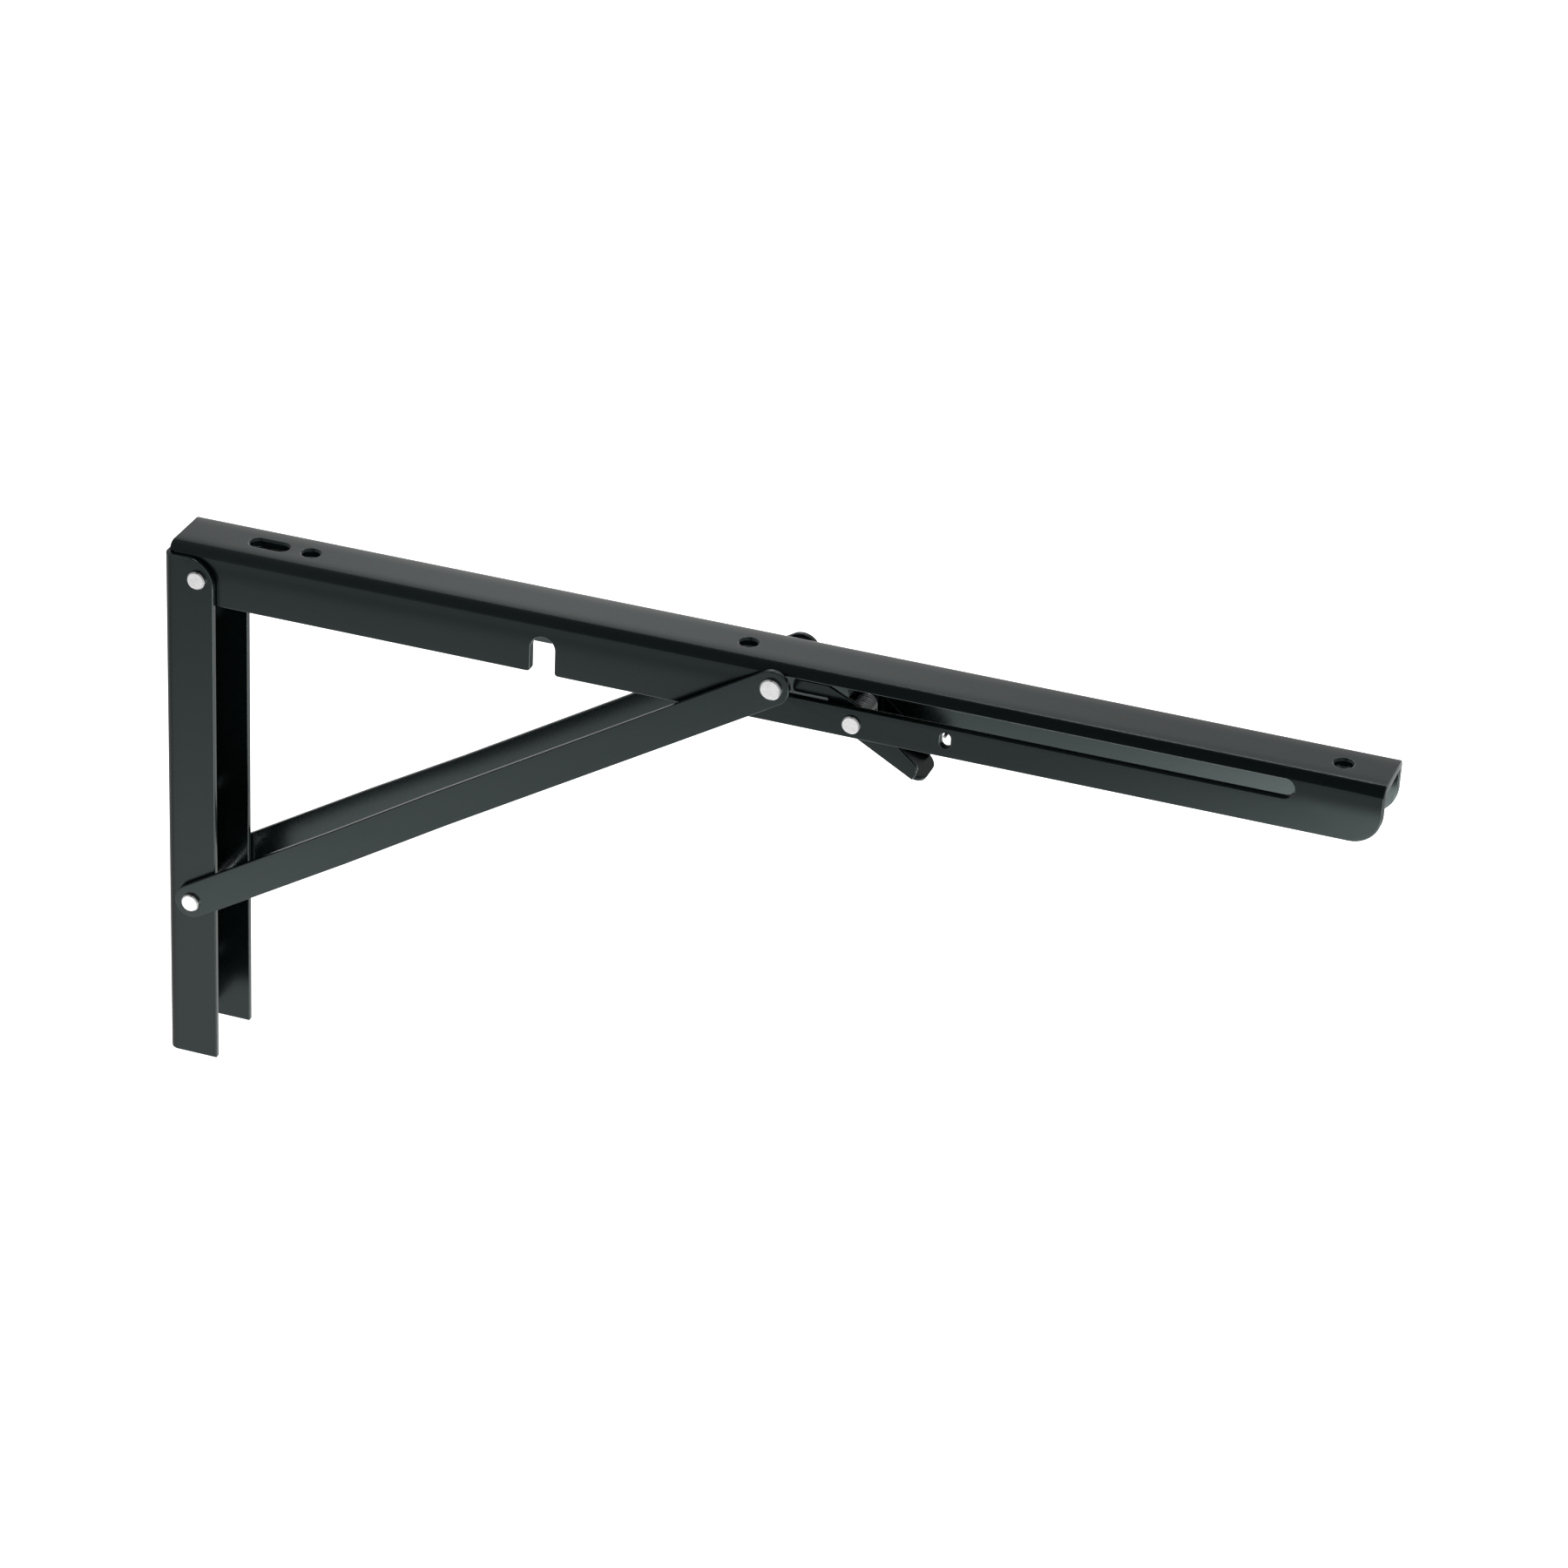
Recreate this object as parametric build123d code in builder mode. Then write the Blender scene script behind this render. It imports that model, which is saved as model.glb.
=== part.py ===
from build123d import *
from math import acos, atan2, cos, degrees, hypot, radians, sin, sqrt, tan
import os

# Folding shelf bracket, millimetres. X leaves the wall, Y crosses the bracket, Z is up.
# The wall face is X = 0, the mid-plane is Y = 0 and the arm's hinge axis is at Z = 0.

# Sheet and bends
sheet = 2.0
bend = 3.3
inner_bend = bend - sheet

# Running and side clearances
run_gap = 0.05
side_gap = 0.7
stop_gap = 0.1
nest_gap = 0.5

# Shelf arm: a channel open below
arm_width = 23.2
arm_sheet = 3.0
arm_reach = 400.9
arm_back = 1.2
arm_top = 10.2
arm_drop = 9.5
arm_end_round = 9.5

# Wall channel, open away from the wall
wall_depth = 17.6
wall_length = 185.3
ear_round = 9.0
foot_round = 7.5
back_round = 2.5

# Hinge and pin centres
hinge_x = 12.0
foot_x = 10.0
foot_rise = 60.2
slide_x = 207.3
slot_z = 3.75
slot_margin = 30.8
lever_x = 232.8
lever_z = -4.7

# Slot, notch and holes in the arm
slot_height = 6.6
notch_width = 8.2
notch_arc_z = -0.8
notch_mouth = 1.2
shelf_hole = 5.5
hole_chamfer = 0.6
first_hole_x = 45.5
middle_hole_x = 194.3
end_hole_margin = 15.7
oblong_x = 31.1
oblong_length = 13.0
hook_x = 263.3
hook_z = -3.8
hook_width = 3.3
hook_height = 5.2

# Wall screw holes
screw_hole = 5.5
screw_hole_top = 37.8
screw_hole_foot = 18.1
screw_hole_count = 3

# Rivets and pins
shank = 5.0
small_shank = 4.4
head = 6.2
slide_head = 7.0
lever_head = 6.0
head_height = 1.3
lever_head_height = 1.1
head_chamfer = 0.4

# Strut bars
bar_width = 11.8
bar_gap = 1.4
foot_past = 1.7
taper_run = 40.0

# Slide studs
stud_shoulder = 9.4

# Release lever
lever_sheet = 1.4
lever_gap = 0.2
nose_back = 20.6
nose_top = 9.8
nose_height = 4.3
nose_round = 1.2
flat_length = 11.4
ramp_angle = 25.4
ramp_past = 1.2
web_angle = 29.0
web_below = 5.2
web_back = 5.0
cheek_run = 25.4
heel_height = 4.6
heel_round = 2.5
tab_overhang = 3.2
tab_round = 5.5

# Return spring
wire = 1.15
wire_sides = 8
coil_mean = 2.9
coil_rest = 0.12
coil_side = 2.5
coil_pitch = 1.25
coil_shift = 0.9
hook_bend = 1.3
leg_slope = 90.0
leg_length = 5.1

# Sizes that follow
arm_half = arm_width / 2
arm_inner = arm_half - arm_sheet
wall_width = arm_width + 2 * (sheet + nest_gap)
wall_half = wall_width / 2
wall_top = arm_top - arm_sheet - stop_gap
wall_bottom = wall_top - wall_length
foot_z = wall_bottom + foot_rise
foot_run = foot_rise + foot_past
slot_end_x = arm_reach - slot_margin
shelf_hole_xs = (first_hole_x, middle_hole_x, arm_reach - end_hole_margin)
screw_hole_pitch = (wall_length - screw_hole_top - screw_hole_foot) / (screw_hole_count - 1)
foot_half = wall_half + side_gap
bar_half = arm_half + bar_gap
strut_length = hypot(slide_x - foot_x, slot_z - foot_z)
strut_angle = degrees(atan2(slot_z - foot_z, slide_x - foot_x))
notch_x = hinge_x + hypot(foot_z, foot_x - hinge_x)
lever_half = arm_inner - lever_gap

os.makedirs("parts", exist_ok=True)

# Wall channel
with BuildPart() as wall_channel:
    with BuildSketch(Plane.XY.offset(wall_bottom)) as wall_outer:
        Rectangle(wall_depth, wall_width, align=(Align.MIN, Align.CENTER))
        fillet(wall_outer.vertices().group_by(Axis.X)[0], bend)
    extrude(amount=wall_length)
    with BuildSketch(Plane.XY.offset(wall_bottom)) as wall_inner:
        with Locations((sheet, 0)):
            Rectangle(wall_depth, wall_width - 2 * sheet, align=(Align.MIN, Align.CENTER))
        fillet(wall_inner.vertices().group_by(Axis.X)[0], inner_bend)
    extrude(amount=wall_length, mode=Mode.SUBTRACT)
    with BuildSketch(Plane.XZ) as wall_side:
        with Locations((0, wall_bottom)):
            Rectangle(wall_depth, wall_length, align=(Align.MIN, Align.MIN))
        front = wall_side.vertices().group_by(Axis.X)[-1].sort_by(Axis.Y)
        back = wall_side.vertices().group_by(Axis.X)[0].sort_by(Axis.Y)
        fillet(front[-1], ear_round)
        fillet(front[0], foot_round)
        fillet(back, back_round)
    extrude(amount=wall_width, both=True, mode=Mode.INTERSECT)
    with BuildSketch(Plane.XZ):
        with Locations((hinge_x, 0), (foot_x, foot_z)):
            Circle(shank / 2)
    extrude(amount=wall_width, both=True, mode=Mode.SUBTRACT)
    with BuildSketch(Plane.YZ):
        for index in range(screw_hole_count):
            with Locations((0, wall_top - screw_hole_top - index * screw_hole_pitch)):
                Circle(screw_hole / 2)
    extrude(amount=2 * sheet, both=True, mode=Mode.SUBTRACT)
wall_channel.part.label = "wall_channel"

# Shelf arm
with BuildPart() as shelf_arm:
    arm_length = arm_reach - arm_back
    arm_height = arm_top + arm_drop
    with BuildSketch(Plane.YZ.offset(arm_back)) as arm_outer:
        with Locations((0, arm_top)):
            Rectangle(arm_width, arm_height, align=(Align.CENTER, Align.MAX))
        fillet(arm_outer.vertices().group_by(Axis.Y)[-1], bend)
    extrude(amount=arm_length)
    with BuildSketch(Plane.YZ.offset(arm_back)) as arm_inside:
        with Locations((0, arm_top - arm_sheet)):
            Rectangle(2 * arm_inner, arm_height, align=(Align.CENTER, Align.MAX))
        fillet(arm_inside.vertices().group_by(Axis.Y)[-1], bend - arm_sheet)
    extrude(amount=arm_length, mode=Mode.SUBTRACT)
    # Side outline: the lower wall-end corner turns about the hinge
    with BuildSketch(Plane.XZ) as arm_side:
        with BuildLine():
            start = (arm_back, arm_top)
            flange_x = hinge_x - arm_drop
            Line(start, (arm_back, arm_top - arm_sheet))
            Line((arm_back, arm_top - arm_sheet), (flange_x, arm_top - arm_sheet))
            Line((flange_x, arm_top - arm_sheet), (flange_x, 0))
            RadiusArc((flange_x, 0), (hinge_x, -arm_drop), -arm_drop)
            Line((hinge_x, -arm_drop), (arm_reach, -arm_drop))
            Line((arm_reach, -arm_drop), (arm_reach, arm_top))
            Line((arm_reach, arm_top), start)
        make_face()
        end_corner = arm_side.vertices().group_by(Axis.X)[-1].sort_by(Axis.Y)[0]
        fillet(end_corner, arm_end_round)
    extrude(amount=arm_width, both=True, mode=Mode.INTERSECT)
    # Slot, hinge holes and lever pivot holes
    with BuildSketch(Plane.XZ):
        with Locations(((slide_x + slot_end_x) / 2, slot_z)):
            SlotCenterToCenter(slot_end_x - slide_x, slot_height)
        with Locations((hinge_x, 0)):
            Circle(shank / 2 + run_gap)
        with Locations((lever_x, lever_z)):
            Circle(small_shank / 2)
    extrude(amount=arm_width, both=True, mode=Mode.SUBTRACT)
    # Notch that takes the foot pin when the arm is down
    with BuildSketch(Plane.XZ) as notch:
        with Locations((notch_x, notch_arc_z)):
            Circle(notch_width / 2)
            Rectangle(notch_width, arm_height, align=(Align.CENTER, Align.MAX))
    extrude(amount=arm_width, both=True, mode=Mode.SUBTRACT)
    mouth = shelf_arm.edges().filter_by(Axis.Y).filter_by_position(Axis.Z, -arm_drop - 0.01, -arm_drop + 0.01)
    mouth = mouth.filter_by_position(Axis.X, notch_x - notch_width, notch_x + notch_width)
    fillet(mouth, notch_mouth)
    # Hole for the spring's hooked end, in one flange only
    with BuildSketch(Plane.XZ):
        with Locations((hook_x, hook_z)):
            SlotOverall(hook_height, hook_width, rotation=90)
    extrude(amount=arm_width, mode=Mode.SUBTRACT)
    # Shelf screw holes
    with BuildSketch(Plane.XY):
        for hole_x in shelf_hole_xs:
            with Locations((hole_x, 0)):
                Circle(shelf_hole / 2)
        with Locations((oblong_x, 0)):
            SlotOverall(oblong_length, shelf_hole)
    extrude(amount=2 * arm_top, mode=Mode.SUBTRACT)
    hole_rims = shelf_arm.faces().sort_by(Axis.Z)[-1].inner_wires()
    chamfer([edge for rim in hole_rims for edge in rim.edges()], hole_chamfer)
shelf_arm.part.label = "shelf_arm"

# Strut bars: flat, round-ended, tapering in from the wall channel's width to the arm's
strut_x = Vector(cos(radians(strut_angle)), 0, sin(radians(strut_angle)))
strut_up = Vector(-strut_x.Z, 0, strut_x.X)
strut_face = Plane(origin=(foot_x, 0, foot_z), x_dir=strut_x, z_dir=(0, -1, 0))
strut_edge = Plane(origin=(foot_x, 0, foot_z), x_dir=strut_x, z_dir=strut_up)
with BuildPart() as strut_bar_left:
    past = bar_width / 2 + sheet
    taper_end = foot_run + taper_run
    with BuildSketch(strut_edge):
        with BuildLine():
            Polyline(
                (-past, foot_half),
                (foot_run, foot_half),
                (taper_end, bar_half),
                (strut_length + past, bar_half),
                (strut_length + past, bar_half + sheet),
                (taper_end, bar_half + sheet),
                (foot_run, foot_half + sheet),
                (-past, foot_half + sheet),
                close=True,
            )
        make_face()
    extrude(amount=bar_width, both=True)
    with BuildSketch(strut_face):
        with Locations((strut_length / 2, 0)):
            SlotCenterToCenter(strut_length, bar_width)
    extrude(amount=wall_width, both=True, mode=Mode.INTERSECT)
    with BuildSketch(strut_face):
        Circle(shank / 2 + run_gap)
        with Locations((strut_length, 0)):
            Circle(small_shank / 2)
    extrude(amount=wall_width, both=True, mode=Mode.SUBTRACT)
strut_bar_left.part.label = "strut_bar_left"

with BuildPart() as strut_bar_right:
    mirror(strut_bar_left.part, about=Plane.XZ)
strut_bar_right.part.label = "strut_bar_right"

# Arm hinge pin, headed on the wall channel's flanges
with BuildPart() as hinge_pin:
    with Locations((hinge_x, 0, 0)):
        Cylinder(shank / 2, wall_width, rotation=(90, 0, 0))
        with Locations((0, wall_half + head_height / 2, 0), (0, -wall_half - head_height / 2, 0)):
            Cylinder(head / 2, head_height, rotation=(90, 0, 0))
    chamfer(hinge_pin.edges().group_by(Axis.Y)[0] + hinge_pin.edges().group_by(Axis.Y)[-1], head_chamfer)
hinge_pin.part.label = "hinge_pin"

# Foot pin, headed outside the strut bars
foot_outer = foot_half + sheet
with BuildPart() as foot_pin:
    with Locations((foot_x, 0, foot_z)):
        Cylinder(shank / 2, 2 * foot_outer, rotation=(90, 0, 0))
        with Locations((0, foot_outer + head_height / 2, 0), (0, -foot_outer - head_height / 2, 0)):
            Cylinder(head / 2, head_height, rotation=(90, 0, 0))
    chamfer(foot_pin.edges().group_by(Axis.Y)[0] + foot_pin.edges().group_by(Axis.Y)[-1], head_chamfer)
foot_pin.part.label = "foot_pin"

# Lever pivot pin, headed on the arm's flanges
with BuildPart() as lever_pin:
    with Locations((lever_x, 0, lever_z)):
        Cylinder(small_shank / 2, arm_width, rotation=(90, 0, 0))
        with Locations((0, arm_half + lever_head_height / 2, 0), (0, -arm_half - lever_head_height / 2, 0)):
            Cylinder(lever_head / 2, lever_head_height, rotation=(90, 0, 0))
    chamfer(lever_pin.edges().group_by(Axis.Y)[0] + lever_pin.edges().group_by(Axis.Y)[-1], head_chamfer)
lever_pin.part.label = "lever_pin"

# Rivets at the strut bars' upper ends
bar_outer = bar_half + sheet
with BuildPart() as strut_rivet_left:
    with Locations((slide_x, bar_half + sheet / 2, slot_z)):
        Cylinder(small_shank / 2, sheet, rotation=(90, 0, 0))
    with Locations((slide_x, bar_outer + head_height / 2, slot_z)):
        Cylinder(slide_head / 2, head_height, rotation=(90, 0, 0))
    chamfer(strut_rivet_left.edges().group_by(Axis.Y)[-1], head_chamfer)
strut_rivet_left.part.label = "strut_rivet_left"

with BuildPart() as strut_rivet_right:
    mirror(strut_rivet_left.part, about=Plane.XZ)
strut_rivet_right.part.label = "strut_rivet_right"

# Slide studs: a round that runs in the slot and a shoulder between arm and bar
with BuildPart() as slide_stud_left:
    with Locations((slide_x, arm_half - arm_sheet / 2, slot_z)):
        Cylinder(slot_height / 2 - run_gap, arm_sheet, rotation=(90, 0, 0))
    with Locations((slide_x, arm_half + bar_gap / 2, slot_z)):
        Cylinder(stud_shoulder / 2, bar_gap, rotation=(90, 0, 0))
slide_stud_left.part.label = "slide_stud_left"

with BuildPart() as slide_stud_right:
    mirror(slide_stud_left.part, about=Plane.XZ)
slide_stud_right.part.label = "slide_stud_right"

# Release lever: two cheeks joined by a web that ends in a rounded finger tab
web_x = Vector(cos(radians(web_angle)), 0, -sin(radians(web_angle)))
web_up = Vector(-web_x.Z, 0, web_x.X)
lever_centre = Vector(lever_x, 0, lever_z)
web_base = lever_centre - web_up * web_below
web_start = web_base - web_x * web_back
web_end = web_base + web_x * cheek_run
heel = web_end + web_up * heel_height
nose_x = lever_x - nose_back
nose_z = lever_z + nose_top
ramp_x = nose_x + flat_length
ramp_end_x = lever_x + ramp_past
ramp_end_z = nose_z - (ramp_end_x - ramp_x) * tan(radians(ramp_angle))
web_plane = Plane(origin=web_start, x_dir=web_x, z_dir=web_up)
with BuildPart() as release_lever:
    with BuildSketch(Plane.XZ) as cheek:
        with BuildLine():
            Polyline(
                (nose_x, nose_z),
                (ramp_x, nose_z),
                (ramp_end_x, ramp_end_z),
                (heel.X, heel.Z),
                (web_end.X, web_end.Z),
                (web_start.X, web_start.Z),
                (ramp_x, nose_z - nose_height),
                (nose_x, nose_z - nose_height),
                close=True,
            )
        make_face()
        fillet(cheek.vertices().group_by(Axis.X)[0], nose_round)
        fillet(cheek.vertices().sort_by(Axis.X)[-1], heel_round)
    extrude(amount=lever_half, both=True)
    with BuildSketch(Plane.XZ.offset(lever_sheet - lever_half)):
        with BuildLine():
            Polyline(
                (web_start.X - nose_back, web_start.Z),
                (web_start.X, (web_start + web_up * lever_sheet).Z),
                ((web_end + web_up * lever_sheet).X, (web_end + web_up * lever_sheet).Z),
                (web_end.X + nose_back, web_end.Z),
                (web_end.X + nose_back, nose_z + nose_height),
                (web_start.X - nose_back, nose_z + nose_height),
                close=True,
            )
        make_face()
    extrude(amount=2 * (lever_half - lever_sheet), mode=Mode.SUBTRACT)
    # Web and tab in one flat strip
    with BuildSketch(web_plane) as web:
        Rectangle(web_back + cheek_run + tab_overhang, 2 * lever_half, align=(Align.MIN, Align.CENTER))
        fillet(web.vertices().group_by(Axis.X)[-1], tab_round)
    extrude(amount=lever_sheet)
    with BuildSketch(Plane.XZ):
        with Locations((lever_x, lever_z)):
            Circle(small_shank / 2 + run_gap)
    extrude(amount=arm_width, both=True, mode=Mode.SUBTRACT)
release_lever.part.label = "release_lever"

# Return spring: close coils round the pivot pin, one leg hooked in the arm, one on the lever's web
coil_z = lever_z + coil_mean - (wire + small_shank) / 2 - coil_rest
hook_top = hook_z + (hook_height - wire) / 2 - run_gap
hook_run = hypot(hook_x - lever_x, hook_top - coil_z)
hook_angle = degrees(atan2(hook_top - coil_z, hook_x - lever_x))
start_angle = radians(hook_angle - degrees(acos(coil_mean / hook_run)))
end_angle = radians(90 - leg_slope)
coil_part = (start_angle - end_angle) / radians(360)
coil_turns = int((2 * (lever_half - lever_sheet - coil_side)) / coil_pitch)
coil_length = coil_pitch * (coil_turns + 1 + coil_part)
coil_start_y = -coil_length / 2 - coil_shift
coil_plane = Plane(
    origin=(lever_x, coil_start_y, coil_z),
    x_dir=(cos(start_angle), 0, sin(start_angle)),
    z_dir=(0, 1, 0),
)
with BuildPart() as lever_spring:
    with BuildLine() as coil_line:
        Helix(coil_pitch, coil_length, coil_mean)
    coil = coil_plane * coil_line.line
    hook_length = sqrt(hook_run**2 - coil_mean**2) / hypot((coil % 0).X, (coil % 0).Z)
    hook_corner = coil @ 0 - (coil % 0) * hook_length
    hook_tip = Vector(hook_corner.X, -arm_half - 0.7 * wire, hook_corner.Z)
    with BuildLine() as spring_line:
        FilletPolyline(hook_tip, hook_corner, coil @ 0, radius=hook_bend)
        add(coil)
        Line(coil @ 1, coil @ 1 + (coil % 1) * leg_length)
    with BuildSketch(Plane(origin=hook_tip, z_dir=(0, 1, 0))):
        RegularPolygon(wire / 2, wire_sides)
    sweep(path=spring_line.line)
lever_spring.part.label = "lever_spring"

named = (
    wall_channel,
    shelf_arm,
    strut_bar_left,
    strut_bar_right,
    hinge_pin,
    foot_pin,
    lever_pin,
    strut_rivet_left,
    strut_rivet_right,
    slide_stud_left,
    slide_stud_right,
    release_lever,
    lever_spring,
)
for piece in named:
    export_step(piece.part, f"parts/{piece.part.label}.step")
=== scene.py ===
"""Looks of a folding shelf bracket: powder coat, plated rivets, steel spring and a white studio.

Every size is in metres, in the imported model's own frame: X leaves the wall, Y crosses the
bracket, Z is up.
"""

import math

import bpy
from bpy.props import FloatProperty, FloatVectorProperty, PointerProperty
from bpy.types import Operator, Panel, PropertyGroup
from mathutils import Matrix, Vector


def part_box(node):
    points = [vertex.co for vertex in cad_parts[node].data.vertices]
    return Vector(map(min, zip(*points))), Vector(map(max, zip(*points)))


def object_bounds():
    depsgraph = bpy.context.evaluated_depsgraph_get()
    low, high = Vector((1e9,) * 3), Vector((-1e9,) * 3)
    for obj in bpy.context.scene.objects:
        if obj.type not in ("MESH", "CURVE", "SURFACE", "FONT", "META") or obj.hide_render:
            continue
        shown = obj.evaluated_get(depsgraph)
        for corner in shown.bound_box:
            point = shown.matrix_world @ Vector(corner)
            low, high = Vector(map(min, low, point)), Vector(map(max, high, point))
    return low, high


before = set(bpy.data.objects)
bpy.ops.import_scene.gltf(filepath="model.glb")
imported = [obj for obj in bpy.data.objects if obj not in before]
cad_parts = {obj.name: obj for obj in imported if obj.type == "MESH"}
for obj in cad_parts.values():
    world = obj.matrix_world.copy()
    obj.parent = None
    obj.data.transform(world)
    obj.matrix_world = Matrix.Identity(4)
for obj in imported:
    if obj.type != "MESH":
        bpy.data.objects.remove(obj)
cad_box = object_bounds()

bl_info = {
    "name": "Folding Shelf Bracket",
    "version": (1, 0, 0),
    "blender": (4, 5, 0),
    "location": "3D View > Sidebar > Bracket",
    "description": "Finishes a folding bracket's sheet, rivets and spring and sets its studio",
    "category": "Object",
}

WELD_DISTANCE = 1e-6
STAMPED_EDGE_ANGLE = math.radians(35)
INSIDE_GLOSS = 2.2
FLOOR_REACH = 12.0

RIVET_NODES = (
    "hinge_pin",
    "foot_pin",
    "lever_pin",
    "strut_rivet_left",
    "strut_rivet_right",
    "slide_stud_left",
    "slide_stud_right",
)


class BracketCoatSettings(PropertyGroup):
    """Powder coat on the pressed sheet."""

    color: FloatVectorProperty(
        name="Coat Color",
        description="Colour of the powder coat",
        subtype="COLOR",
        size=4,
        min=0.0,
        max=1.0,
        default=(0.0018, 0.0038, 0.0038, 1.0),
    )
    thin_color: FloatVectorProperty(
        name="Thin Coat Color",
        description="Colour where the powder is thin, on rounded edges and in faint patches",
        subtype="COLOR",
        size=4,
        min=0.0,
        max=1.0,
        default=(0.004, 0.007, 0.007, 1.0),
    )
    roughness: FloatProperty(
        name="Coat Roughness",
        description="Mean roughness of the satin surface",
        subtype="FACTOR",
        min=0.0,
        max=1.0,
        default=0.22,
    )
    specular: FloatProperty(
        name="Coat Specular",
        description="Strength of the coat's reflection",
        subtype="FACTOR",
        min=0.0,
        max=1.0,
        default=0.42,
    )
    tint: FloatVectorProperty(
        name="Coat Tint",
        description="Colour of the coat's reflection",
        subtype="COLOR",
        size=4,
        min=0.0,
        max=1.0,
        default=(0.82, 1.0, 0.99, 1.0),
    )
    peel_size: FloatProperty(
        name="Orange Peel Size",
        description="Distance between the ripples that the powder flows into",
        unit="LENGTH",
        default=0.0014,
    )
    peel_depth: FloatProperty(
        name="Orange Peel Depth",
        description="Height of those ripples",
        unit="LENGTH",
        default=0.000006,
    )
    grain_size: FloatProperty(
        name="Grain Size",
        description="Size of the fine grain of the powder",
        unit="LENGTH",
        default=0.00035,
    )
    grain_depth: FloatProperty(
        name="Grain Depth",
        description="Height of the fine grain",
        unit="LENGTH",
        default=0.0000015,
    )
    edge_round: FloatProperty(
        name="Edge Round",
        description="Rounding of the stamped edges under the coat",
        unit="LENGTH",
        default=0.0005,
    )
    draw_in: FloatProperty(
        name="Draw In",
        description="How far the flat faces fall away towards the bends",
        unit="LENGTH",
        default=0.0006,
    )


class BracketMetalSettings(PropertyGroup):
    """Bare metal of the rivets and of the spring."""

    plating_color: FloatVectorProperty(
        name="Plating Color",
        description="Colour of the plated rivets",
        subtype="COLOR",
        size=4,
        min=0.0,
        max=1.0,
        default=(0.78, 0.78, 0.785, 1.0),
    )
    plating_roughness: FloatProperty(
        name="Plating Roughness",
        description="Mean roughness of the plating",
        subtype="FACTOR",
        min=0.0,
        max=1.0,
        default=0.26,
    )
    tumble_size: FloatProperty(
        name="Tumble Mark Size",
        description="Size of the dents from tumbling",
        unit="LENGTH",
        default=0.0011,
    )
    tumble_depth: FloatProperty(
        name="Tumble Mark Depth",
        description="Depth of the dents from tumbling",
        unit="LENGTH",
        default=0.000012,
    )
    wire_color: FloatVectorProperty(
        name="Wire Color",
        description="Colour of the spring wire",
        subtype="COLOR",
        size=4,
        min=0.0,
        max=1.0,
        default=(0.5, 0.52, 0.52, 1.0),
    )
    wire_roughness: FloatProperty(
        name="Wire Roughness",
        description="Mean roughness of the drawn wire",
        subtype="FACTOR",
        min=0.0,
        max=1.0,
        default=0.3,
    )


class BracketStageSettings(PropertyGroup):
    """Camera, floor and light of the product picture."""

    azimuth: FloatProperty(
        name="Azimuth",
        description="Camera's turn about the upright axis",
        subtype="ANGLE",
        default=math.radians(18.16),
    )
    elevation: FloatProperty(
        name="Elevation",
        description="Camera's height angle",
        subtype="ANGLE",
        default=math.radians(28.68),
    )
    roll: FloatProperty(
        name="Roll",
        description="Camera's turn about its own line of sight",
        subtype="ANGLE",
        default=math.radians(2.956),
    )
    distance: FloatProperty(
        name="Distance",
        description="From the camera to the point that it looks at",
        unit="LENGTH",
        default=1.6408,
    )
    target: FloatVectorProperty(
        name="Target",
        description="Point that the camera looks at",
        subtype="TRANSLATION",
        unit="LENGTH",
        size=3,
        default=(0.2082, 0.0, -0.0371),
    )
    lens: FloatProperty(
        name="Lens",
        description="Focal length in millimetres",
        min=1.0,
        default=119.57,
    )
    floor_drop: FloatProperty(
        name="Floor Drop",
        description="Gap from the wall channel's foot to the floor, with room for the folded arm",
        unit="LENGTH",
        default=0.232,
    )
    floor_glow: FloatProperty(
        name="Floor Glow",
        description="Light that the translucent floor gives all over",
        default=0.02,
    )
    left_pool: FloatProperty(
        name="Left Pool",
        description="Light that the floor gives near the bracket's wall end",
        default=1.55,
    )
    under_pool: FloatProperty(
        name="Under Pool",
        description="Light that the floor gives under the arm's end",
        default=2.0,
    )
    right_pool: FloatProperty(
        name="Right Pool",
        description="Light that the floor gives beyond the arm's end",
        default=14.0,
    )
    overhead_power: FloatProperty(
        name="Overhead Power",
        description="Power of the large overhead light",
        default=14.0,
    )
    strip_power: FloatProperty(
        name="Strip Power",
        description="Power of the narrow light high behind the bracket",
        default=1.6,
    )
    backdrop_glow: FloatProperty(
        name="Backdrop Glow",
        description="Brightness of the wall behind the bracket",
        default=1.04,
    )
    hot_spot: FloatProperty(
        name="Hot Spot",
        description="How much brighter the middle of that wall is",
        default=0.6,
    )
    side_glow: FloatProperty(
        name="Side Glow",
        description="Brightness of the room beyond the arm's end, which lights the other views",
        default=0.42,
    )
    far_glow: FloatProperty(
        name="Far Glow",
        description="Light that the floor gives behind the bracket and far in front of it",
        default=0.5,
    )
    room_glow: FloatProperty(
        name="Room Glow",
        description="Brightness of the room in front of the bracket",
        default=0.05,
    )


def new_material(name):
    """A material with an empty node tree and its output node."""
    material = bpy.data.materials.new(name)
    material.use_nodes = True
    tree = material.node_tree
    tree.nodes.clear()
    output = tree.nodes.new("ShaderNodeOutputMaterial")
    return material, tree, output


def math_node(tree, operation, first, second=None):
    """A maths node on sockets or numbers; returns its result."""
    node = tree.nodes.new("ShaderNodeMath")
    node.operation = operation
    for place, value in enumerate((first, second)):
        if value is None:
            continue
        if isinstance(value, bpy.types.NodeSocket):
            tree.links.new(value, node.inputs[place])
        else:
            node.inputs[place].default_value = value
    return node.outputs["Value"]


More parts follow.
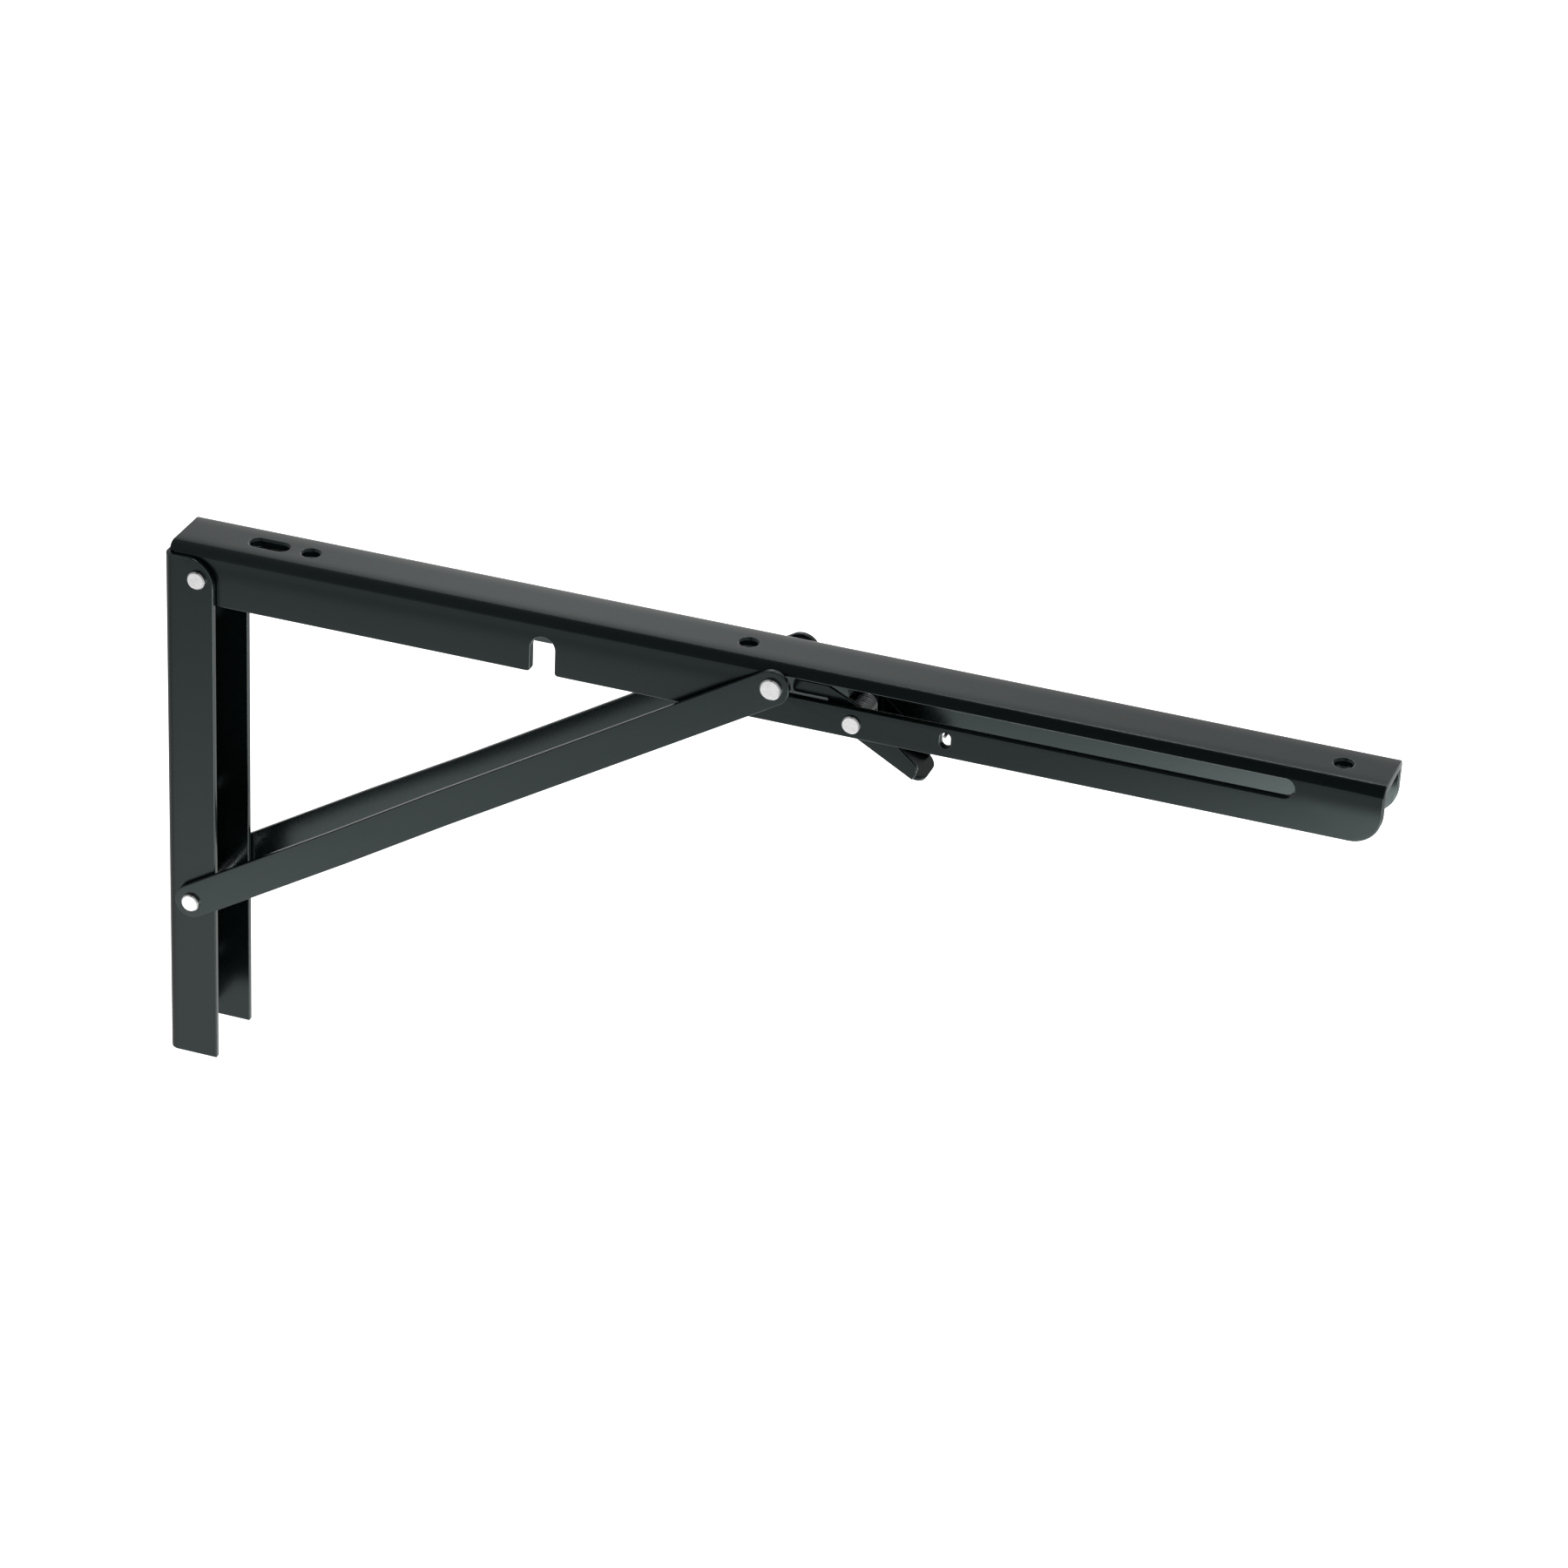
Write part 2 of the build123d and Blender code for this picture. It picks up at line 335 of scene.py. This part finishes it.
def noise(tree, coordinates, spacing, detail=2.0):
    """Noise whose blobs are about one spacing apart, from 0 to 1."""
    node = tree.nodes.new("ShaderNodeTexNoise")
    node.inputs["Scale"].default_value = 1.0 / spacing
    node.inputs["Detail"].default_value = detail
    node.inputs["Roughness"].default_value = 0.5
    tree.links.new(coordinates, node.inputs["Vector"])
    return node.outputs["Fac"]


def remap(tree, value, low, high, new_low, new_high):
    """A value carried from one range to another, held at its ends."""
    node = tree.nodes.new("ShaderNodeMapRange")
    node.inputs["From Min"].default_value = low
    node.inputs["From Max"].default_value = high
    node.inputs["To Min"].default_value = new_low
    node.inputs["To Max"].default_value = new_high
    tree.links.new(value, node.inputs["Value"])
    return node.outputs["Result"]


def bump(tree, height, below=None):
    """A bump of a height in metres, over another bump where there is one."""
    node = tree.nodes.new("ShaderNodeBump")
    node.inputs["Strength"].default_value = 1.0
    node.inputs["Distance"].default_value = 1.0
    tree.links.new(height, node.inputs["Height"])
    if below is not None:
        tree.links.new(below, node.inputs["Normal"])
    return node.outputs["Normal"]


def fall_away(tree, value, start, end, depth):
    """Height that drops by depth, ever faster, as value goes from start to end."""
    share = remap(tree, value, start, end, 0.0, 1.0)
    return math_node(tree, "MULTIPLY", math_node(tree, "POWER", share, 3.0), -depth)


def coat_shader(tree, coat, gloss_share, color, roughness, normal):
    """The coat's shader over sockets for its colour, roughness and normal."""
    shader = tree.nodes.new("ShaderNodeBsdfPrincipled")
    shader.inputs["Specular IOR Level"].default_value = coat.specular * gloss_share
    shader.inputs["Specular Tint"].default_value = coat.tint
    tree.links.new(color, shader.inputs["Base Color"])
    tree.links.new(roughness, shader.inputs["Roughness"])
    tree.links.new(normal, shader.inputs["Normal"])
    return shader.outputs["BSDF"]


def powder_coat(name, coat, gloss_share=1.0, bends=(), inside=None):
    """Satin powder coat with orange peel, fine grain and faces that fall away towards the bends.

    Each bend is an axis, where the fall starts and ends on it, and its share of the full depth.
    Inside is a distance from the mid-plane and a height: closer in and below, it is glossier.
    """
    material, tree, output = new_material(name)
    place = tree.nodes.new("ShaderNodeTexCoord").outputs["Object"]
    axes = tree.nodes.new("ShaderNodeSeparateXYZ")
    tree.links.new(place, axes.inputs["Vector"])

    patches = noise(tree, place, 0.03, detail=3.0)
    tone = tree.nodes.new("ShaderNodeMix")
    tone.data_type = "RGBA"
    tone.inputs["A"].default_value = coat.color
    tone.inputs["B"].default_value = coat.thin_color
    tree.links.new(remap(tree, patches, 0.35, 0.75, 0.0, 0.35), tone.inputs["Factor"])

    speckle = noise(tree, place, coat.grain_size, detail=1.0)
    gloss = remap(tree, speckle, 0.3, 0.7, coat.roughness - 0.03, coat.roughness + 0.03)

    normal = None
    off_middle = math_node(tree, "ABSOLUTE", axes.outputs["Y"])
    for axis, start, end, share in bends:
        value = off_middle if axis == "Y" else axes.outputs[axis]
        normal = bump(tree, fall_away(tree, value, start, end, share * coat.draw_in), normal)
    peel = noise(tree, place, coat.peel_size)
    normal = bump(tree, math_node(tree, "MULTIPLY", peel, coat.peel_depth), normal)
    normal = bump(tree, math_node(tree, "MULTIPLY", speckle, coat.grain_depth), normal)

    look = (tone.outputs["Result"], gloss, normal)
    surface = coat_shader(tree, coat, gloss_share, *look)
    if inside is not None:
        sheltered = coat_shader(tree, coat, INSIDE_GLOSS * gloss_share, *look)
        within = math_node(tree, "LESS_THAN", off_middle, inside[0])
        below = math_node(tree, "LESS_THAN", axes.outputs["Z"], inside[1])
        mix = tree.nodes.new("ShaderNodeMixShader")
        tree.links.new(math_node(tree, "MULTIPLY", within, below), mix.inputs[0])
        tree.links.new(surface, mix.inputs[1])
        tree.links.new(sheltered, mix.inputs[2])
        surface = mix.outputs["Shader"]
    tree.links.new(surface, output.inputs["Surface"])
    return material


def bare_metal(name, color, roughness, mark_size, mark_depth):
    """Bare metal with a mottled gloss and shallow marks."""
    material, tree, output = new_material(name)
    shader = tree.nodes.new("ShaderNodeBsdfPrincipled")
    place = tree.nodes.new("ShaderNodeTexCoord").outputs["Object"]
    shader.inputs["Metallic"].default_value = 1.0

    mottle = noise(tree, place, mark_size * 1.7, detail=3.0)
    shade = tree.nodes.new("ShaderNodeMix")
    shade.data_type = "RGBA"
    shade.inputs["A"].default_value = [channel * 0.86 for channel in color[:3]] + [1.0]
    shade.inputs["B"].default_value = color
    tree.links.new(remap(tree, mottle, 0.3, 0.6, 0.0, 1.0), shade.inputs["Factor"])
    tree.links.new(shade.outputs["Result"], shader.inputs["Base Color"])
    tree.links.new(
        remap(tree, mottle, 0.3, 0.7, roughness + 0.06, roughness - 0.06),
        shader.inputs["Roughness"],
    )

    marks = noise(tree, place, mark_size)
    normal = bump(tree, math_node(tree, "MULTIPLY", marks, mark_depth))
    tree.links.new(normal, shader.inputs["Normal"])
    tree.links.new(shader.outputs["BSDF"], output.inputs["Surface"])
    return material


def dress(node, *materials):
    """Puts the materials in a CAD node's slots, the first one on its faces."""
    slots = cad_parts[node].data.materials
    slots.clear()
    for material in materials:
        slots.append(material)


def keep_in_box(piece):
    """Holds the rounding within the solid's own box where a step meets a bend almost edge on."""
    corners = [vertex.co for vertex in piece.data.vertices]
    low = [min(corner[axis] for corner in corners) for axis in range(3)]
    high = [max(corner[axis] for corner in corners) for axis in range(3)]
    group = bpy.data.node_groups.new("keep_in_box", "GeometryNodeTree")
    for way in ("INPUT", "OUTPUT"):
        group.interface.new_socket("Geometry", in_out=way, socket_type="NodeSocketGeometry")
    place = group.nodes.new("GeometryNodeInputPosition").outputs["Position"]
    for operation, limit in (("MINIMUM", high), ("MAXIMUM", low)):
        held = group.nodes.new("ShaderNodeVectorMath")
        held.operation = operation
        held.inputs[1].default_value = limit
        group.links.new(place, held.inputs[0])
        place = held.outputs["Vector"]
    move = group.nodes.new("GeometryNodeSetPosition")
    group.links.new(group.nodes.new("NodeGroupInput").outputs[0], move.inputs["Geometry"])
    group.links.new(place, move.inputs["Position"])
    group.links.new(move.outputs["Geometry"], group.nodes.new("NodeGroupOutput").inputs[0])
    piece.modifiers.new("keep_in_box", "NODES").node_group = group


def round_edges(node, width):
    """Rounds a sheet's stamped edges; the rounding takes the node's second material."""
    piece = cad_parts[node]
    weld = piece.modifiers.new("join_faces", "WELD")
    weld.merge_threshold = WELD_DISTANCE
    bevel = piece.modifiers.new("stamped_edges", "BEVEL")
    bevel.offset_type = "WIDTH"
    bevel.width = width
    bevel.segments = 3
    bevel.limit_method = "ANGLE"
    bevel.angle_limit = STAMPED_EDGE_ANGLE
    bevel.use_clamp_overlap = False
    bevel.loop_slide = False
    bevel.material = 1
    keep_in_box(piece)
    shading = piece.modifiers.new("flat_faces", "WEIGHTED_NORMAL")
    shading.keep_sharp = False
    shading.weight = 90


class BRACKET_OT_coat_wall_channel(Operator):
    """Coat the wall channel and round its stamped edges"""

    bl_idname = "bracket.coat_wall_channel"
    bl_label = "Coat Wall Channel"

    def execute(self, context):
        coat = context.scene.bracket_coat
        _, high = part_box("wall_channel")
        bends = (("X", 0.35 * high.x, 0.0, 1.0),)
        face = powder_coat("wall_channel_coat", coat, 0.85, bends)
        edge = powder_coat("wall_channel_edge", coat, 2.0)
        dress("wall_channel", face, edge)
        round_edges("wall_channel", coat.edge_round)
        return {"FINISHED"}


class BRACKET_OT_coat_shelf_arm(Operator):
    """Coat the shelf arm and round its stamped edges"""

    bl_idname = "bracket.coat_shelf_arm"
    bl_label = "Coat Shelf Arm"

    def execute(self, context):
        coat = context.scene.bracket_coat
        _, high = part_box("shelf_arm")
        bends = (("Y", 0.3 * high.y, high.y, 1.0), ("Z", -0.2 * high.z, high.z, 2.2))
        inside = (high.y - 0.0028, high.z - 0.0015)
        face = powder_coat("shelf_arm_coat", coat, 0.85, bends, inside)
        edge = powder_coat("shelf_arm_edge", coat, 2.0)
        dress("shelf_arm", face, edge)
        round_edges("shelf_arm", coat.edge_round)
        return {"FINISHED"}


class BRACKET_OT_coat_strut_bars(Operator):
    """Coat both strut bars and round their stamped edges"""

    bl_idname = "bracket.coat_strut_bars"
    bl_label = "Coat Strut Bars"

    def execute(self, context):
        coat = context.scene.bracket_coat
        face = powder_coat("strut_bar_coat", coat, 1.15)
        edge = powder_coat("strut_bar_edge", coat, 1.5)
        for node in ("strut_bar_left", "strut_bar_right"):
            dress(node, face, edge)
            round_edges(node, coat.edge_round)
        return {"FINISHED"}


class BRACKET_OT_coat_release_lever(Operator):
    """Coat the release lever and round its stamped edges"""

    bl_idname = "bracket.coat_release_lever"
    bl_label = "Coat Release Lever"

    def execute(self, context):
        coat = context.scene.bracket_coat
        face = powder_coat("release_lever_coat", coat, 0.85)
        edge = powder_coat("release_lever_edge", coat, 2.0)
        dress("release_lever", face, edge)
        round_edges("release_lever", 0.7 * coat.edge_round)
        return {"FINISHED"}


class BRACKET_OT_plate_rivets(Operator):
    """Plate the pins, rivets and slide studs"""

    bl_idname = "bracket.plate_rivets"
    bl_label = "Plate Rivets"

    def execute(self, context):
        metal = context.scene.bracket_metal
        plating = bare_metal(
            "rivet_plating",
            metal.plating_color,
            metal.plating_roughness,
            metal.tumble_size,
            metal.tumble_depth,
        )
        for node in RIVET_NODES:
            dress(node, plating)
        return {"FINISHED"}


class BRACKET_OT_finish_spring(Operator):
    """Give the return spring its drawn steel wire"""

    bl_idname = "bracket.finish_spring"
    bl_label = "Finish Spring"

    def execute(self, context):
        metal = context.scene.bracket_metal
        wire = bare_metal(
            "spring_wire",
            metal.wire_color,
            metal.wire_roughness,
            0.4 * metal.tumble_size,
            0.2 * metal.tumble_depth,
        )
        dress("lever_spring", wire)
        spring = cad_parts["lever_spring"]
        weld = spring.modifiers.new("join_faces", "WELD")
        weld.merge_threshold = WELD_DISTANCE
        shading = spring.modifiers.new("round_wire", "WEIGHTED_NORMAL")
        shading.keep_sharp = False
        return {"FINISHED"}


def camera_axes(stage):
    """The camera's right, up and backward directions in the frame."""
    turn, rise = stage.azimuth, stage.elevation
    back = Vector(
        (math.sin(turn) * math.cos(rise), -math.cos(turn) * math.cos(rise), math.sin(rise))
    )
    level = Vector((math.cos(turn), math.sin(turn), 0.0))
    above = back.cross(level)
    right = level * math.cos(stage.roll) + above * math.sin(stage.roll)
    up = above * math.cos(stage.roll) - level * math.sin(stage.roll)
    return right, up, back


def add_camera(stage):
    """The photograph's camera: its place, turn and lens."""
    data = bpy.data.cameras.new("product_camera")
    data.sensor_width = 36.0
    data.lens = stage.lens
    camera = bpy.data.objects.new("product_camera", data)
    bpy.context.collection.objects.link(camera)
    right, up, back = camera_axes(stage)
    place = Matrix((right, up, back)).transposed().to_4x4()
    place.translation = Vector(stage.target) + back * stage.distance
    camera.matrix_world = place
    bpy.context.scene.camera = camera


def add_light(name, power, size, place, target, glossy):
    """A rectangular soft light aimed at a point; one that isn't glossy leaves no reflection."""
    data = bpy.data.lights.new(name, "AREA")
    data.shape = "RECTANGLE"
    data.size, data.size_y = size
    data.energy = power
    light = bpy.data.objects.new(name, data)
    bpy.context.collection.objects.link(light)
    light.location = place
    aim = Vector(target) - Vector(place)
    light.rotation_euler = aim.to_track_quat("-Z", "Y").to_euler()
    light.visible_glossy = glossy


def pool(tree, place, centre, reach, strength, power=2.0):
    """A soft round pool of light: full strength at its centre, none at its reach."""
    away = tree.nodes.new("ShaderNodeVectorMath")
    away.operation = "DISTANCE"
    away.inputs[1].default_value = centre
    tree.links.new(place, away.inputs[0])
    nearness = remap(tree, away.outputs["Value"], reach, 0.0, 0.0, 1.0)
    return math_node(tree, "MULTIPLY", math_node(tree, "POWER", nearness, power), strength)


def add_floor(stage):
    """A white floor with soft pools of glow in the places that the bracket reflects."""
    material, tree, output = new_material("studio_floor")
    shader = tree.nodes.new("ShaderNodeBsdfPrincipled")
    shader.inputs["Base Color"].default_value = (0.9, 0.9, 0.9, 1.0)
    shader.inputs["Roughness"].default_value = 0.8
    shader.inputs["Specular IOR Level"].default_value = 0.1
    shader.inputs["Emission Color"].default_value = (1.0, 1.0, 1.0, 1.0)
    place = tree.nodes.new("ShaderNodeTexCoord").outputs["Object"]
    height = cad_box[0].z - stage.floor_drop
    glow = pool(tree, place, (-0.162, -0.453, height), 0.58, stage.left_pool, 1.4)
    for centre, reach, strength in (
        ((0.488, -0.653, height), 0.42, stage.right_pool),
        ((0.26, 0.24, height), 0.5, stage.under_pool),
    ):
        glow = math_node(tree, "ADD", glow, pool(tree, place, centre, reach, strength))
    across = tree.nodes.new("ShaderNodeSeparateXYZ")
    tree.links.new(place, across.inputs["Vector"])
    for start, end in ((0.35, 0.8), (-1.05, -1.5)):
        far = remap(tree, across.outputs["Y"], start, end, 0.0, stage.far_glow)
        glow = math_node(tree, "ADD", glow, far)
    glow = math_node(tree, "ADD", glow, stage.floor_glow)
    seen = tree.nodes.new("ShaderNodeLightPath").outputs["Is Camera Ray"]
    glow = math_node(tree, "ADD", glow, seen)
    tree.links.new(glow, shader.inputs["Emission Strength"])
    tree.links.new(shader.outputs["BSDF"], output.inputs["Surface"])
    edge = FLOOR_REACH
    corners = ((-edge, -edge), (edge, -edge), (edge, edge), (-edge, edge))
    mesh = bpy.data.meshes.new("studio_floor")
    mesh.from_pydata([(x, y, height) for x, y in corners], [], [(0, 1, 2, 3)])
    mesh.materials.append(material)
    floor = bpy.data.objects.new("studio_floor", mesh)
    bpy.context.collection.objects.link(floor)


def light_room(stage):
    """A room bright behind the bracket and beyond the arm's end, darker in front and above."""
    world = bpy.data.worlds.new("studio_room")
    world.use_nodes = True
    bpy.context.scene.world = world
    tree = world.node_tree
    tree.nodes.clear()
    output = tree.nodes.new("ShaderNodeOutputWorld")
    direction = tree.nodes.new("ShaderNodeTexCoord").outputs["Generated"]
    axes = tree.nodes.new("ShaderNodeSeparateXYZ")
    tree.links.new(direction, axes.inputs["Vector"])
    aside = math_node(tree, "ABSOLUTE", math_node(tree, "ADD", axes.outputs["X"], 0.33))
    hot_spot = remap(tree, aside, 0.0, 0.11, stage.hot_spot, 0.0)
    glow = math_node(tree, "ADD", hot_spot, stage.backdrop_glow)
    for axis, nothing, full in (
        ("Y", 0.3, 0.5),
        ("Z", 0.74, 0.44),
        ("X", 0.3, 0.0),
        ("X", -0.48, -0.32),
    ):
        share = remap(tree, axes.outputs[axis], nothing, full, 0.0, 1.0)
        glow = math_node(tree, "MULTIPLY", glow, share)
    for start, end, least, most in (
        (-0.24, -0.38, stage.room_glow, 10.0 * stage.room_glow),
        (-0.1, 0.08, 0.0, stage.side_glow),
    ):
        share = remap(tree, axes.outputs["X"], start, end, least, most)
        glow = math_node(tree, "ADD", glow, share)
    room = tree.nodes.new("ShaderNodeBackground")
    tree.links.new(glow, room.inputs["Strength"])
    seen = tree.nodes.new("ShaderNodeBackground")
    rays = tree.nodes.new("ShaderNodeLightPath")
    mix = tree.nodes.new("ShaderNodeMixShader")
    tree.links.new(rays.outputs["Is Camera Ray"], mix.inputs[0])
    tree.links.new(room.outputs["Background"], mix.inputs[1])
    tree.links.new(seen.outputs["Background"], mix.inputs[2])
    tree.links.new(mix.outputs["Shader"], output.inputs["Surface"])


class BRACKET_OT_set_stage(Operator):
    """Set the studio: camera, floor, lights and room"""

    bl_idname = "bracket.set_stage"
    bl_label = "Set Stage"

    def execute(self, context):
        stage = context.scene.bracket_stage
        middle = Vector(stage.target)
        context.scene.view_settings.view_transform = "Standard"
        add_camera(stage)
        add_floor(stage)
        light_room(stage)
        add_light(
            "overhead_light",
            stage.overhead_power,
            (3.0, 3.0),
            middle + Vector((0.0, 0.0, 2.2)),
            middle,
            False,
        )
        add_light(
            "rear_strip",
            stage.strip_power,
            (0.5, 0.12),
            middle + Vector((-0.2, 1.4, 1.4)),
            middle,
            True,
        )
        return {"FINISHED"}


class BRACKET_PT_looks(Panel):
    """Lists the bracket's pieces and settings in the sidebar"""

    bl_idname = "BRACKET_PT_looks"
    bl_label = "Folding Shelf Bracket"
    bl_space_type = "VIEW_3D"
    bl_region_type = "UI"
    bl_category = "Bracket"

    def draw(self, context):
        layout = self.layout
        scene = context.scene
        for title, group in (
            ("Powder Coat", scene.bracket_coat),
            ("Bare Metal", scene.bracket_metal),
            ("Stage", scene.bracket_stage),
        ):
            box = layout.box()
            box.label(text=title)
            for name in type(group).__annotations__:
                box.prop(group, name)
        for step in STEPS:
            layout.operator(step.bl_idname)


STEPS = (
    BRACKET_OT_coat_wall_channel,
    BRACKET_OT_coat_shelf_arm,
    BRACKET_OT_coat_strut_bars,
    BRACKET_OT_coat_release_lever,
    BRACKET_OT_plate_rivets,
    BRACKET_OT_finish_spring,
    BRACKET_OT_set_stage,
)
CLASSES = (
    BracketCoatSettings,
    BracketMetalSettings,
    BracketStageSettings,
    *STEPS,
    BRACKET_PT_looks,
)


def register():
    for cls in CLASSES:
        bpy.utils.register_class(cls)
    bpy.types.Scene.bracket_coat = PointerProperty(type=BracketCoatSettings)
    bpy.types.Scene.bracket_metal = PointerProperty(type=BracketMetalSettings)
    bpy.types.Scene.bracket_stage = PointerProperty(type=BracketStageSettings)


def unregister():
    del bpy.types.Scene.bracket_stage
    del bpy.types.Scene.bracket_metal
    del bpy.types.Scene.bracket_coat
    for cls in reversed(CLASSES):
        bpy.utils.unregister_class(cls)


def main():
    register()
    bpy.ops.bracket.coat_wall_channel()
    bpy.ops.bracket.coat_shelf_arm()
    bpy.ops.bracket.coat_strut_bars()
    bpy.ops.bracket.coat_release_lever()
    bpy.ops.bracket.plate_rivets()
    bpy.ops.bracket.finish_spring()
    bpy.ops.bracket.set_stage()


if __name__ == "__main__":
    main()
